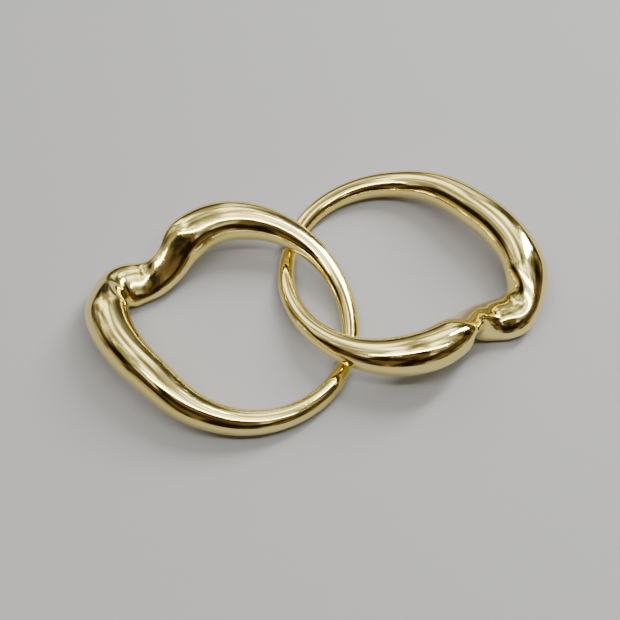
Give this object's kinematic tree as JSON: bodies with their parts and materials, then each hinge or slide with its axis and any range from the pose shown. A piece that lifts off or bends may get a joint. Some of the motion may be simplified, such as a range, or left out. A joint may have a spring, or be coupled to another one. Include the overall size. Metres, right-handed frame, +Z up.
{
  "type": "metal ring disentanglement puzzle",
  "caption": "Linked polished metal rings, each with a thick twisted kink and a thin gapped side, made to be worked apart and put back together by hand.",
  "frame": {"origin": "on the table, on the vertical axis about which the right ring is the left ring turned by half a turn", "axes": "+X from the left ring's centre to the right ring's centre, +Y away from the front of the pair, +Z up from the table"},
  "size_m": [0.0756, 0.043, 0.0097],
  "materials": {
    "left_plating": "mirror-polished pale gold plating on die-cast zinc alloy",
    "right_plating": "mirror-polished pale gold plating on die-cast zinc alloy"
  },
  "bodies": {
    "left_ring": {"left_ring": "left_plating"},
    "right_ring": {"right_ring": "right_plating"}
  },
  "joints": [
    {"name": "link_swing", "type": "hinge", "parent": "left_ring", "child": "right_ring", "pos_m": [-0.00056, 0.0124, 0.00119], "axis": [-0.5878, -0.809, 0], "range_deg": [0, 135]}
  ]
}
